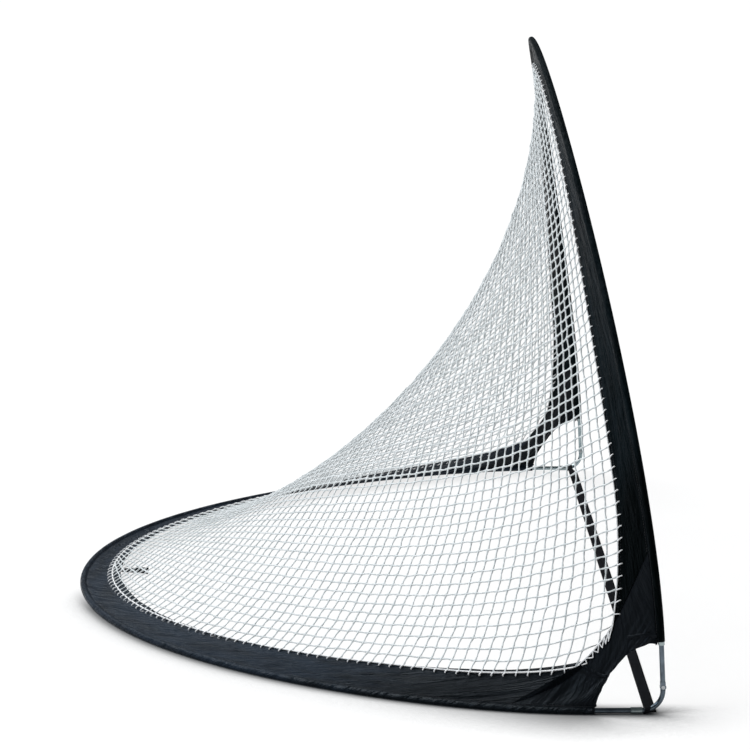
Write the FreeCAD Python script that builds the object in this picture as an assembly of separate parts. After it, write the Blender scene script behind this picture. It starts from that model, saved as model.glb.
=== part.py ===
import FreeCAD, Part
import os
from math import cos, pi, radians, sin, tan

# Pop-up chipping net: an upright hoop and a ground hoop that meet in two jointed steel corners,
# fabric sleeves round both hoops, and one net membrane between the sleeves.
# Millimetres. +X runs along the goal line, +Y runs back under the net, +Z is up.
# The origin is the middle of the goal line strap's underside, on the ground.

Vec = FreeCAD.Vector

# Overall size
HALF_WIDTH = 915.0       # middle of the goal line to a corner tube's centre
CORNER_Y = -20.0         # the corner tubes stand just in front of the strap's centre line
CROWN_Z = 1106.0         # centre of the upright rod at the crown
CROWN_Y = 159.0          # the crown leans back by this much
TIP_Y = 1088.0           # centre of the ground rod at the rear tip

# Tubes and rods
ROD_D = 7.0              # fibreglass rod
TUBE_D = 9.0             # steel end tubes and elbows
TUBE_BORE = 7.2
ELBOW_BORE = 7.0
FERRULE_BORE = 7.8
FERRULE_LENGTH = 40.0
ROD_GAP = 0.4            # the two rod halves of a hoop nearly meet inside the ferrule
ROD_Z = 6.5              # height of the ground rod's centre, half the rod pocket's diameter

# Corner hardware
BEND_R = 35.0            # elbow's centre line
PIVOT_Z = 49.0           # fold pin's centre
KNUCKLE_R = 5.5          # round end of tongue and cheeks
TONGUE_T = 3.0
CHEEK_GAP = 0.25         # clearance beside the tongue
NECK_HALF = 4.5
PLUG_LOW = 8.5           # solid plug of the end tube, measured from the pin
PLUG_HIGH = 14.0
PIN_D = 4.0
PIN_CLEARANCE = 0.05
PIN_HEAD_D = 6.6
PIN_HEAD_T = 1.2
LEAN = 0.05              # the end tubes of the upright hoop lean back, sideways per unit of height
COUPLING_D = 11.2
COUPLING_BORE = 9.1
COUPLING_LENGTH = 20.0
COUPLING_START = 35.5    # from the corner, along the ground leg
COUPLING_JOINT = 46.0    # elbow leg and end tube meet here
JOINT_GAP = 0.4
RING_D = 11.6
RING_LENGTH = 6.0

# Sleeves
POCKET_D = 13.0          # fabric tube round the rod
POCKET_BORE = 10.0
UPRIGHT_MOUTH_Z = 131.0
GROUND_MOUTH_Y = 98.0
FABRIC_T = 1.2
SEAM_START = 7.2         # the flat band starts here, measured from the rod's centre
UPRIGHT_BAND = (113.0, 57.0)     # band width along the section, up the side and at the crown
UPRIGHT_NARROWING = (0.45, 0.95)     # the width changes between these places
CORNER_BAND = 220.0      # extra width towards the corner, gone at CORNER_BAND_END
CORNER_BAND_END = 0.30
GROUND_BAND = (218.0, 61.0)      # width if the band ran on into the corner, and at the rear tip
GUSSET_END = 0.150       # the corner gusset fills the sections up to here
BAND_START = 0.154       # flat bands, net and cords start here

# Net
NET_T = 1.0
NET_CORD_D = 3.0
CORD_ROOM = 3.2          # the net and the band both stop this far from the cord's centre

# Straps
STRAP_W = 20.0
STRAP_T = 1.5
LOOP_W = 11.0
LOOP_BORE = 10.0
LOOP_D = 12.2
LOOP_ANGLE = radians(13.0)       # the loop sits on the last part of the bend
LOOP_TAIL = 32.0
TAB_LENGTH = 80.0
TAB_UNDERLAP = 8.0

# Shape of the hoops: each half is a straight end and one cubic curve
UPRIGHT_START_Z = 124.5
UPRIGHT_HANDLE_Z = 467.5
UPRIGHT_SHOULDER = (-366.0, 148.0)
GROUND_START_Y = 98.0
GROUND_HANDLE_Y = 426.5
GROUND_SHOULDER_X = -567.0
STRAIGHT_REACH = 25.0    # the rods stay straight this far past the start of the curve
SPANS = 12               # straight runs and arcs of a tube, each half
CORD_SPANS = 24

UPRIGHT = (
    Vec(-HALF_WIDTH, CORNER_Y + LEAN * (UPRIGHT_START_Z - PIVOT_Z), UPRIGHT_START_Z),
    Vec(-HALF_WIDTH, CORNER_Y + LEAN * (UPRIGHT_HANDLE_Z - PIVOT_Z), UPRIGHT_HANDLE_Z),
    Vec(UPRIGHT_SHOULDER[0], UPRIGHT_SHOULDER[1], CROWN_Z),
    Vec(0.0, CROWN_Y, CROWN_Z),
)
GROUND = (
    Vec(-HALF_WIDTH, GROUND_START_Y, ROD_Z),
    Vec(-HALF_WIDTH, GROUND_HANDLE_Y, ROD_Z),
    Vec(GROUND_SHOULDER_X, TIP_Y, ROD_Z),
    Vec(0.0, TIP_Y, ROD_Z),
)

# Shape of the membrane: each section from the upright rod down to the ground rod is a weighted
# quadratic curve, and its middle point and weight change evenly from the corner to the middle
PULL_UP = (0.139, 0.138)
PULL_BACK = (0.491, -0.016)
SAG_WEIGHT = (2.192, 0.570)
CORNER_PULL = (0.30, 0.32)       # extra pull of the gusset's cut edge, gone at CORNER_FADE
CORNER_FADE = 0.12
SECTION_STEPS = 80
SECTION_STEP = 2.0       # short step along a section, for directions on the membrane
TAU_STEP = 0.004         # the same along the hoops
CURVE_STEPS = 400        # points that measure a curve
BAND_STATIONS = 37
BAND_LANES = 7
NET_LANES = 11
GUSSET_STATIONS = 13
GUSSET_LANES = 9


def cubic(poles, t):
    u = 1.0 - t
    return (poles[0] * u ** 3 + poles[1] * (3 * u * u * t)
            + poles[2] * (3 * u * t * t) + poles[3] * t ** 3)


def mirrored(point):
    return Vec(-point.x, point.y, point.z)


def blend(pair, t):
    """Nearly even change from the corner to the middle, with no crease at the middle."""
    return pair[0] + (pair[1] - pair[0]) * (5 * t - t ** 5) / 4


def section_line(t):
    """Points from the upright rod's centre to the ground rod's centre, with their arc lengths."""
    up = cubic(UPRIGHT, t)
    back = cubic(GROUND, t)
    corner = Vec((up.x + back.x) / 2, CORNER_Y, 0.0)
    fade = max(0.0, 1.0 - t / CORNER_FADE) ** 2
    pull_up = blend(PULL_UP, t) + CORNER_PULL[0] * fade
    pull_back = blend(PULL_BACK, t) + CORNER_PULL[1] * fade
    middle = corner + (up - corner) * pull_up + (back - corner) * pull_back
    weight = blend(SAG_WEIGHT, t)
    points = []
    for step in range(SECTION_STEPS + 1):
        v = step / SECTION_STEPS
        first = (1 - v) ** 2
        second = 2 * v * (1 - v) * weight
        third = v * v
        total = first + second + third
        points.append((up * first + middle * second + back * third) * (1 / total))
    lengths = [0.0]
    for before, after in zip(points, points[1:]):
        lengths.append(lengths[-1] + (after - before).Length)
    return points, lengths


SECTIONS = {}


def section(t):
    key = round(t, 6)
    if key not in SECTIONS:
        SECTIONS[key] = section_line(t)
    return SECTIONS[key]


def fold_in(tau):
    """Tau runs from 0 at the left corner through 1 at the middle to 2 at the right corner."""
    return 2.0 - tau if tau > 1.0 else tau


def section_length(tau):
    return section(fold_in(tau))[1][-1]


def sheet_point(tau, distance):
    """Point of the membrane at this distance from the upright rod, along its section."""
    points, lengths = section(fold_in(tau))
    index = 0
    while index < len(lengths) - 2 and lengths[index + 1] < distance:
        index += 1
    part = (distance - lengths[index]) / (lengths[index + 1] - lengths[index])
    point = points[index] + (points[index + 1] - points[index]) * part
    return mirrored(point) if tau > 1.0 else point


def upright_edge(tau):
    """Even width up the side, less at the crown, and more beside the gusset."""
    t = fold_in(tau)
    first, last = UPRIGHT_NARROWING
    way = min(max((t - first) / (last - first), 0.0), 1.0)
    narrowed = way * way * (3.0 - 2.0 * way)
    corner = max(0.0, 1.0 - t / CORNER_BAND_END) ** 2
    return UPRIGHT_BAND[0] + (UPRIGHT_BAND[1] - UPRIGHT_BAND[0]) * narrowed + CORNER_BAND * corner


def ground_edge(tau):
    return section_length(tau) - blend(GROUND_BAND, fold_in(tau))


def along_and_across(tau, place):
    """Directions on the membrane: along a line on it, and along its section there."""
    low = max(tau - TAU_STEP, 0.0)
    high = min(tau + TAU_STEP, 2.0)
    along = sheet_point(high, place(high)) - sheet_point(low, place(low))
    distance = place(tau)
    across = sheet_point(tau, distance + SECTION_STEP) - sheet_point(tau, distance - SECTION_STEP)
    return along.normalize(), across.normalize()


def beside(place, room):
    """The line on the membrane that stays this far from another one, measured square to it."""
    def moved(tau):
        along, across = along_and_across(tau, place)
        return place(tau) + room / along.cross(across).Length
    return moved


def line(start, end):
    return Part.LineSegment(start, end).toShape()


def fitted_surface(grid):
    surface = Part.BSplineSurface()
    surface.interpolate(grid)
    return surface


def borders(surface):
    low_u, high_u, low_v, high_v = surface.bounds()
    curves = [surface.uIso(low_u), surface.uIso(high_u), surface.vIso(low_v), surface.vIso(high_v)]
    return [curve.toShape() for curve in curves]


def shell(stations, near, far, lanes, thickness):
    """Thin closed solid on the membrane, between two distances from the upright rod."""
    top = []
    bottom = []
    for tau in stations:
        upper_row = []
        lower_row = []
        for lane in range(lanes):
            share = lane / (lanes - 1)
            distance = near(tau) * (1 - share) + far(tau) * share
            point = sheet_point(tau, distance)
            along, across = along_and_across(tau, lambda place: distance)
            normal = across.cross(along).normalize()
            upper_row.append(point + normal * (thickness / 2))
            lower_row.append(point - normal * (thickness / 2))
        top.append(upper_row)
        bottom.append(lower_row)
    upper = fitted_surface(top)
    lower = fitted_surface(bottom)
    faces = [upper.toShape(), lower.toShape()]
    for first, second in zip(borders(upper), borders(lower)):
        faces.append(Part.makeRuledSurface(first, second))
    skin = Part.makeShell(faces)
    skin.sewShape()
    return Part.makeSolid(skin)


def spread(first, last, count):
    return [first + (last - first) * k / (count - 1) for k in range(count)]


def rounded_edges(points, first_reach=None, stop=None):
    """Straight runs joined by tangent arcs. With stop, only the runs before that place in x."""
    edges = []
    start = points[0]
    for index in range(1, len(points) - 1):
        before = points[index] - points[index - 1]
        after = points[index + 1] - points[index]
        reach = 0.45 * min(before.Length, after.Length)
        if first_reach and index in (1, len(points) - 2):
            reach = first_reach
        half_turn = before.getAngle(after) / 2
        before.normalize()
        after.normalize()
        radius = reach / tan(half_turn)
        inward = (after - before).normalize()
        arc_start = points[index] - before * reach
        arc_end = points[index] + after * reach
        centre = points[index] + inward * (radius / cos(half_turn))
        if stop is not None and arc_end.x > stop:
            share = (stop - start.x) / (arc_start.x - start.x)
            edges.append(line(start, start + (arc_start - start) * share))
            return edges
        edges.append(line(start, arc_start))
        edges.append(Part.Arc(arc_start, centre - inward * radius, arc_end).toShape())
        start = arc_end
    edges.append(line(start, points[-1]))
    return edges


def meeting_point(first, first_way, second, second_way):
    """Middle of the shortest link between two tangents."""
    gap = second - first
    aligned = first_way.dot(second_way)
    spare = 1.0 - aligned * aligned
    along = (gap.dot(first_way) - aligned * gap.dot(second_way)) / spare
    back = (aligned * gap.dot(first_way) - gap.dot(second_way)) / spare
    return (first + first_way * along + second + second_way * back) * 0.5


def tangent_polygon(place, spans):
    """Corners of the tangents of a half curve at even steps, then the same mirrored."""
    fine = [place(k / CURVE_STEPS) for k in range(CURVE_STEPS + 1)]
    lengths = [0.0]
    for before, after in zip(fine, fine[1:]):
        lengths.append(lengths[-1] + (after - before).Length)
    stations = []
    index = 0
    for k in range(spans + 1):
        wanted = lengths[-1] * k / spans
        while index < CURVE_STEPS - 1 and lengths[index + 1] < wanted:
            index += 1
        part = (wanted - lengths[index]) / (lengths[index + 1] - lengths[index])
        stations.append((index + part) / CURVE_STEPS)
    touches = [place(t) for t in stations]
    ways = []
    for t in stations:
        low = max(t - 0.001, 0.0)
        high = min(t + 0.001, 1.0)
        ways.append((place(high) - place(low)).normalize())
    ways[-1] = Vec(1, 0, 0)
    corners = []
    for k in range(spans):
        corners.append(meeting_point(touches[k], ways[k], touches[k + 1], ways[k + 1]))
    return corners + [mirrored(point) for point in corners[::-1]]


def pipe(edges, diameter, name=None):
    wire = Part.Wire(edges)
    start = wire.OrderedEdges[0]
    way = start.tangentAt(start.FirstParameter)
    ring = Part.Wire(Part.makeCircle(diameter / 2, start.valueAt(start.FirstParameter), way))
    solid = wire.makePipeShell([ring], True, False)
    if name:
        filled = solid.Volume / (pi * diameter ** 2 / 4 * wire.Length)
        print(name, "length %.0f mm, volume over section x length %.5f" % (wire.Length, filled))
    return solid


def hollow_pipe(edges, diameter, bore, name=None):
    return pipe(edges, diameter, name).cut(pipe(edges, bore))


def rod_along(base, way, low, high, diameter):
    return Part.makeCylinder(diameter / 2, high - low, base + way * low, way)


def tube_along(base, way, low, high, diameter, bore):
    solid = rod_along(base, way, low, high, diameter)
    return solid.cut(rod_along(base, way, low, high, bore))


# Corner frame, left side
CORNER = Vec(-HALF_WIDTH, CORNER_Y, ROD_Z)
PIVOT = Vec(-HALF_WIDTH, CORNER_Y, PIVOT_Z)
UP = Vec(0, 0, 1)
BACK = Vec(0, 1, 0)
ACROSS = Vec(1, 0, 0)
LEANING = Vec(0, LEAN, 1).normalize()


def knuckle_plates(offsets, way, low, high):
    """Plates across X with a round end about the pin, running along way from low to high."""
    plates = []
    for near_x, far_x in offsets:
        thickness = far_x - near_x
        disc = Part.makeCylinder(KNUCKLE_R, thickness, PIVOT + ACROSS * near_x, ACROSS)
        side = ACROSS.cross(way)
        corner = PIVOT + ACROSS * near_x - side * NECK_HALF
        outline = [corner + way * low, corner + way * high,
                   corner + way * high + side * (2 * NECK_HALF),
                   corner + way * low + side * (2 * NECK_HALF)]
        face = Part.Face(Part.makePolygon(outline + outline[:1]))
        plates.append(disc.fuse(face.extrude(ACROSS * thickness)))
    return plates


def elbow():
    """Bent steel tube: a flat tongue with the pin hole on top, and a leg for the coupling."""
    bend_top = ROD_Z + BEND_R
    neck_top = PIVOT_Z - KNUCKLE_R - CHEEK_GAP - 0.1
    bend_mid = CORNER + BACK * (BEND_R * (1 - sin(pi / 4))) + UP * (BEND_R * (1 - cos(pi / 4)))
    leg_end = CORNER + BACK * (COUPLING_JOINT - JOINT_GAP / 2)
    turn = Part.Arc(CORNER + UP * BEND_R, bend_mid, CORNER + BACK * BEND_R).toShape()
    leg = line(CORNER + BACK * BEND_R, leg_end)
    skin = pipe([turn, leg], TUBE_D)
    neck = rod_along(Vec(CORNER.x, CORNER.y, 0), UP, bend_top, neck_top, TUBE_D)
    tongue = knuckle_plates([(-TONGUE_T / 2, TONGUE_T / 2)], UP, -(PIVOT_Z - neck_top) - 1.0, 0.0)[0]
    hollow = pipe([turn, leg], ELBOW_BORE)
    keep = Part.makeBox(40, 40, 14, Vec(PIVOT.x - 20, PIVOT.y - 20, bend_top - 10.0))
    hole = rod_along(PIVOT, ACROSS, -TUBE_D, TUBE_D, PIN_D + 2 * PIN_CLEARANCE)
    return skin.fuse([neck, tongue]).cut(hollow.cut(keep)).cut(hole)


def upright_end_tube():
    """Steel tube with two cheeks round the elbow's tongue at its foot."""
    inner = TONGUE_T / 2 + CHEEK_GAP
    outer = TUBE_D / 2
    top = (UPRIGHT_START_Z + STRAIGHT_REACH - PIVOT_Z) / LEANING.z
    plates = knuckle_plates([(-outer, -inner), (inner, outer)], LEANING, 0.0, PLUG_LOW + 1.0)
    plug = rod_along(PIVOT, LEANING, PLUG_LOW, PLUG_HIGH, TUBE_D)
    barrel = tube_along(PIVOT, LEANING, PLUG_HIGH, top - 0.5, TUBE_D, TUBE_BORE)
    hole = rod_along(PIVOT, ACROSS, -TUBE_D, TUBE_D, PIN_D)
    return plug.fuse(plates + [barrel]).cut(hole)


def fold_pin():
    shank = rod_along(PIVOT, ACROSS, -TUBE_D / 2, TUBE_D / 2, PIN_D)
    heads = [rod_along(PIVOT, ACROSS, TUBE_D / 2, TUBE_D / 2 + PIN_HEAD_T, PIN_HEAD_D),
             rod_along(PIVOT, ACROSS, -TUBE_D / 2 - PIN_HEAD_T, -TUBE_D / 2, PIN_HEAD_D)]
    return shank.fuse(heads)


def ground_end_tube():
    end = GROUND_START_Y - CORNER_Y + STRAIGHT_REACH - 0.5
    return tube_along(CORNER, BACK, COUPLING_JOINT + JOINT_GAP / 2, end, TUBE_D, TUBE_BORE)


def ground_coupling():
    return tube_along(CORNER, BACK, COUPLING_START, COUPLING_START + COUPLING_LENGTH,
                      COUPLING_D, COUPLING_BORE)


def upright_mouth_ring():
    top = (UPRIGHT_MOUTH_Z - PIVOT_Z) / LEANING.z - 0.4
    return tube_along(PIVOT, LEANING, top - RING_LENGTH, top, RING_D, COUPLING_BORE)


def strap_loop():
    """Webbing loop round the end of the elbow's bend, with a tail stitched on the strap."""
    y = BEND_R * (1 - sin(LOOP_ANGLE))
    z = BEND_R * (1 - cos(LOOP_ANGLE))
    way = Vec(0, cos(LOOP_ANGLE), -sin(LOOP_ANGLE))
    centre = CORNER + BACK * y + UP * z
    ring = tube_along(centre, way, -LOOP_W / 2, LOOP_W / 2, LOOP_D, LOOP_BORE)
    thickness = (LOOP_D - LOOP_BORE) / 2
    tail = Part.makeBox(LOOP_TAIL, LOOP_W - 1, thickness,
                        Vec(CORNER.x + 1, centre.y - LOOP_W / 2 + 0.5, STRAP_T))
    tail = tail.cut(rod_along(centre, way, -LOOP_W, LOOP_W, LOOP_BORE))
    return ring.fuse(tail)


def goal_line_strap():
    half = HALF_WIDTH - LOOP_D / 2 - 2.0
    return Part.makeBox(2 * half, STRAP_W, STRAP_T, Vec(-half, -STRAP_W / 2, 0))


def tip_tab():
    """Webbing tab under the rear tip's band, sloping down to the ground."""
    start = sheet_point(1.0, ground_edge(1.0) + TAB_UNDERLAP)
    start.z -= FABRIC_T + STRAP_T
    drop = (start.z - STRAP_T / 2) / TAB_LENGTH
    way = Vec(0, -cos(drop), -sin(drop))
    side = Vec(0, -sin(drop), cos(drop))
    corner = start - ACROSS * (STRAP_W / 2)
    outline = [corner, corner + way * TAB_LENGTH,
               corner + way * TAB_LENGTH + side * STRAP_T, corner + side * STRAP_T]
    return Part.Face(Part.makePolygon(outline + outline[:1])).extrude(ACROSS * STRAP_W)


def hoop_points(poles, start):
    corners = tangent_polygon(lambda t: cubic(poles, t), SPANS)
    return [start] + corners + [mirrored(start)]


def hoop(poles, way, rod_start, mouth):
    """Rod halves, ferrule and fabric pocket of one hoop."""
    far = hoop_points(poles, rod_start)
    reach = (far[1] - poles[0]).Length - STRAIGHT_REACH
    rod = pipe(rounded_edges(far, reach, -ROD_GAP / 2), ROD_D, "rod")
    middle = Vec(0.0, far[SPANS].y, far[SPANS].z)
    half = FERRULE_LENGTH / 2
    ferrule = tube_along(middle, ACROSS, -half, half, TUBE_D, FERRULE_BORE)
    pocket = hollow_pipe(rounded_edges([mouth] + far[1:-1] + [mirrored(mouth)], reach),
                         POCKET_D, POCKET_BORE, "pocket")
    return rod, ferrule, pocket


def net_cord(edge, name):
    """The net's border cord, from one gusset to the other."""
    def place(t):
        tau = BAND_START + (1.0 - BAND_START) * t
        return sheet_point(tau, edge(tau))
    start = place(0.0)
    corners = tangent_polygon(place, CORD_SPANS)
    return pipe(rounded_edges([start] + corners + [mirrored(start)]), NET_CORD_D, name)


def save(name, shape):
    shape.exportStep("parts/%s.step" % name)
    print(name, "valid" if shape.isValid() else "INVALID", "solids", len(shape.Solids),
          "volume %.0f" % shape.Volume)


def save_pair(name, left):
    save(name + "_left", left)
    save(name + "_right", left.mirror(Vec(0, 0, 0), ACROSS))


os.makedirs("parts", exist_ok=True)

save_pair("elbow", elbow())
save_pair("upright_end_tube", upright_end_tube())
save_pair("fold_pin", fold_pin())
save_pair("ground_end_tube", ground_end_tube())
save_pair("ground_coupling", ground_coupling())
save_pair("upright_mouth_ring", upright_mouth_ring())
save_pair("strap_loop", strap_loop())
save("goal_line_strap", goal_line_strap())
save("tip_tab", tip_tab())

upright_rod, crown_ferrule, upright_pocket = hoop(
    UPRIGHT, LEANING, PIVOT + LEANING * (PLUG_HIGH + 1.0),
    PIVOT + LEANING * ((UPRIGHT_MOUTH_Z - PIVOT_Z) / LEANING.z))
save_pair("upright_rod", upright_rod)
save("crown_ferrule", crown_ferrule)
save("upright_rod_pocket", upright_pocket)

ground_rod, tip_ferrule, ground_pocket = hoop(
    GROUND, BACK, CORNER + BACK * (COUPLING_JOINT + COUPLING_LENGTH / 2),
    Vec(-HALF_WIDTH, GROUND_MOUTH_Y, ROD_Z))
save_pair("ground_rod", ground_rod)
save("tip_ferrule", tip_ferrule)
save("ground_rod_pocket", ground_pocket)

upright_seam = beside(lambda tau: 0.0, SEAM_START)
ground_seam = beside(section_length, -SEAM_START)
band_stations = spread(BAND_START, 2.0 - BAND_START, BAND_STATIONS)
save("upright_sleeve_band",
     shell(band_stations, upright_seam, beside(upright_edge, -CORD_ROOM), BAND_LANES, FABRIC_T))
save("ground_sleeve_band",
     shell(band_stations, beside(ground_edge, CORD_ROOM), ground_seam, BAND_LANES, FABRIC_T))
save("net", shell(band_stations, beside(upright_edge, CORD_ROOM), beside(ground_edge, -CORD_ROOM),
                  NET_LANES, NET_T))
save_pair("corner_gusset", shell(spread(0.0, GUSSET_END, GUSSET_STATIONS), upright_seam, ground_seam,
                                 GUSSET_LANES, FABRIC_T))
save("upright_net_cord", net_cord(upright_edge, "upright net cord"))
save("ground_net_cord", net_cord(ground_edge, "ground net cord"))
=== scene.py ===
# %% [markdown]
# # A pop-up chipping net
# Two springy hoops hold one square net. The upright hoop is the goal mouth, and the ground hoop
# spreads the net out behind it. The CAD model already has every rod, tube and pin, so this lesson
# keeps those and dresses them: sewn sleeves, knotted twine, lacing, webbing and studio light.

# %% Load the CAD model
import math
import bpy
import numpy as np
from mathutils import Matrix, Vector


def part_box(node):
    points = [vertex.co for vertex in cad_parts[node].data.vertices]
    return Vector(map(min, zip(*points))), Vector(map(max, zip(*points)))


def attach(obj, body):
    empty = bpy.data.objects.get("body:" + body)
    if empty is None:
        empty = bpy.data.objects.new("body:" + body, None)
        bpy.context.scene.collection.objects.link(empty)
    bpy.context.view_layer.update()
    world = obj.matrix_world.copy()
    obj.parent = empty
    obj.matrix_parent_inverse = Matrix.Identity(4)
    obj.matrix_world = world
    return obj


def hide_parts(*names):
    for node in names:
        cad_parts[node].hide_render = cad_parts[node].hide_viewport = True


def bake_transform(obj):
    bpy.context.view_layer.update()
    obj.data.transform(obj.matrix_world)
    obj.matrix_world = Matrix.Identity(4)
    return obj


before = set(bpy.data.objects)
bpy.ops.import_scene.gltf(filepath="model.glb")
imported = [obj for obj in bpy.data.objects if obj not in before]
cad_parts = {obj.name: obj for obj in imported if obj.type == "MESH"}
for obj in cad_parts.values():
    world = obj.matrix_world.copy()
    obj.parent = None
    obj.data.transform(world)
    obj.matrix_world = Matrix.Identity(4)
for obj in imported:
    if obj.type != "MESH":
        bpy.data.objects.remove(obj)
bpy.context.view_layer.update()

scene = bpy.context.scene

# %% [markdown]
# ## The camera
# The photograph looks along the goal line from the left, five metres off, from a little above.
# A camera's matrix is made of three directions: its right, its up, and minus its forward. They
# are worked out here from three small angles, so each angle can be read and changed alone.

# %% Place the camera
PHOTO_PIXELS = 750
FOCAL_PIXELS = 2489.6
CAMERA_AT = Vector((-5.0391, 0.4554, 1.4125))
CAMERA_YAW = 0.0046
CAMERA_PITCH = 0.1941
CAMERA_ROLL = -0.0071

forward = Vector((math.cos(CAMERA_YAW) * math.cos(CAMERA_PITCH),
                  math.sin(CAMERA_YAW) * math.cos(CAMERA_PITCH),
                  -math.sin(CAMERA_PITCH)))
level_right = forward.cross(Vector((0, 0, 1))).normalized()
level_up = level_right.cross(forward)
right = level_right * math.cos(CAMERA_ROLL) + level_up * math.sin(CAMERA_ROLL)
up = level_up * math.cos(CAMERA_ROLL) - level_right * math.sin(CAMERA_ROLL)

lens = bpy.data.cameras.new("camera")
lens.sensor_width = 36.0
lens.lens = FOCAL_PIXELS / PHOTO_PIXELS * lens.sensor_width
camera = bpy.data.objects.new("camera", lens)
turn = Matrix((right, up, -forward)).transposed().to_4x4()
camera.matrix_world = Matrix.Translation(CAMERA_AT) @ turn
scene.collection.objects.link(camera)
scene.camera = camera
print("lens %.1f mm" % lens.lens)

# %% [markdown]
# ## The membrane
# Net and sleeves lie on one stretched surface. Each hoop half is one cubic curve. A section of
# the surface runs from the upright rod down to the ground rod on a weighted quadratic curve, and
# its pull changes evenly from the corner to the middle. Every soft piece is placed by two
# numbers: tau, from 0 at the left corner through 1 at the middle to 2 at the right corner, and
# the distance from the upright rod along the section.

# %% Shape of the hoops
UPRIGHT_POLES = np.array([(-0.915, -0.0162, 0.1245), (-0.915, 0.0009, 0.4675),
                          (-0.366, 0.148, 1.106), (0.0, 0.159, 1.106)])
GROUND_POLES = np.array([(-0.915, 0.098, 0.0065), (-0.915, 0.4265, 0.0065),
                         (-0.567, 1.088, 0.0065), (0.0, 1.088, 0.0065)])
HOOP_POLES = {"upright": UPRIGHT_POLES, "ground": GROUND_POLES}


def on_half_hoop(poles, t):
    t = t[:, None]
    u = 1 - t
    return (poles[0] * u ** 3 + poles[1] * 3 * u * u * t
            + poles[2] * 3 * u * t * t + poles[3] * t ** 3)


def evenly(pair, t):
    """Change from a corner's value to the middle's with no crease at the middle."""
    return pair[0] + (pair[1] - pair[0]) * (5 * t - t ** 5) / 4


def lengths_along(points):
    steps = np.linalg.norm(np.diff(points, axis=-2), axis=-1)
    start = np.zeros(steps.shape[:-1] + (1,))
    return np.concatenate([start, np.cumsum(steps, axis=-1)], axis=-1)


# %% Sections of the membrane
PULL_UP = (0.139, 0.138)
PULL_BACK = (0.491, -0.016)
SAG_WEIGHT = (2.192, 0.570)
CORNER_PULL = (0.30, 0.32)
CORNER_FADE = 0.12
SECTION_POINTS = 121


def sections(t):
    upper = on_half_hoop(UPRIGHT_POLES, t)
    lower = on_half_hoop(GROUND_POLES, t)
    corner = np.stack([(upper[:, 0] + lower[:, 0]) / 2, np.full(len(t), -0.02), 0 * t], axis=1)
    fade = np.maximum(0, 1 - t / CORNER_FADE) ** 2
    lift = (evenly(PULL_UP, t) + CORNER_PULL[0] * fade)[:, None]
    back = (evenly(PULL_BACK, t) + CORNER_PULL[1] * fade)[:, None]
    middle = corner + (upper - corner) * lift + (lower - corner) * back
    v = np.linspace(0, 1, SECTION_POINTS)[None, :, None]
    first = (1 - v) ** 2
    second = 2 * v * (1 - v) * evenly(SAG_WEIGHT, t)[:, None, None]
    third = v * v
    shaped = first * upper[:, None] + second * middle[:, None] + third * lower[:, None]
    return shaped / (first + second + third)


def fold_in(tau):
    return np.where(tau > 1, 2 - tau, tau)


def section_length(tau):
    return lengths_along(sections(fold_in(tau)))[:, -1]


def membrane(tau, distance):
    """Points at this distance from the upright rod. A little below zero runs straight on."""
    tau = np.asarray(tau, float)
    points = sections(fold_in(tau))
    lengths = lengths_along(points)
    distance = np.broadcast_to(distance, tau.shape)
    index = np.clip((lengths < distance[:, None]).sum(axis=1) - 1, 0, SECTION_POINTS - 2)
    row = np.arange(len(tau))
    span = lengths[row, index + 1] - lengths[row, index]
    part = ((distance - lengths[row, index]) / span)[:, None]
    found = points[row, index] * (1 - part) + points[row, index + 1] * part
    found[:, 0] *= np.where(tau > 1, -1, 1)
    return found


print("middle section %.3f m long" % section_length(np.array([1.0]))[0])

# %% [markdown]
# ## Two helpers that make meshes
# Numpy works out all points at once, and a mesh is then made from plain lists. Cloth is a grid of
# points that is given a front, a back and four rims, so it has the thickness of real fabric.
# Thread and cord are rings of points round a path.

# %% Unit vectors and meshes
def unit(vectors):
    return vectors / np.linalg.norm(vectors, axis=-1, keepdims=True)


def make_object(name, points, faces, finish, uv=None):
    mesh = bpy.data.meshes.new(name)
    mesh.from_pydata(points.tolist(), [], faces)
    mesh.shade_smooth()
    if uv is not None:
        layer = mesh.uv_layers.new(name="cloth")
        corners = np.empty(len(mesh.loops), np.int32)
        mesh.loops.foreach_get("vertex_index", corners)
        layer.data.foreach_set("uv", uv[corners].astype(np.float32).ravel())
    mesh.materials.append(finish)
    piece = bpy.data.objects.new(name, mesh)
    scene.collection.objects.link(piece)
    print(name, len(mesh.vertices), "points", len(mesh.polygons), "faces")
    return piece


# %% Cloth from a grid
def grid_normals(grid):
    along = np.gradient(grid, axis=0)
    across = np.gradient(grid, axis=1)
    return unit(np.cross(along, across))


def grid_faces(rows, columns, start, flipped):
    faces = []
    for r in range(rows - 1):
        for c in range(columns - 1):
            a = start + r * columns + c
            face = (a, a + columns, a + columns + 1, a + 1)
            faces.append(face[::-1] if flipped else face)
    return faces


def rim_faces(loop, shift):
    """One strip of faces that joins the front's border to the back's."""
    return [(a, b, b + shift, a + shift) for a, b in zip(loop, loop[1:] + loop[:1])]


def cloth(name, grid, thickness, finish, uv):
    rows, columns = grid.shape[:2]
    size = rows * columns
    lift = grid_normals(grid) * (np.broadcast_to(thickness, (rows, columns))[..., None] / 2)
    points = np.concatenate([(grid + lift).reshape(-1, 3), (grid - lift).reshape(-1, 3)])
    faces = grid_faces(rows, columns, 0, False) + grid_faces(rows, columns, size, True)
    index = np.arange(size).reshape(rows, columns)
    loop = (list(index[0, :]) + list(index[1:, -1]) + list(index[-1, -2::-1])
            + list(index[-2:0:-1, 0]))
    faces += rim_faces([int(i) for i in loop], size)
    flat_uv = np.concatenate([uv.reshape(-1, 2), uv.reshape(-1, 2)])
    return make_object(name, points, faces, finish, flat_uv)


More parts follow.
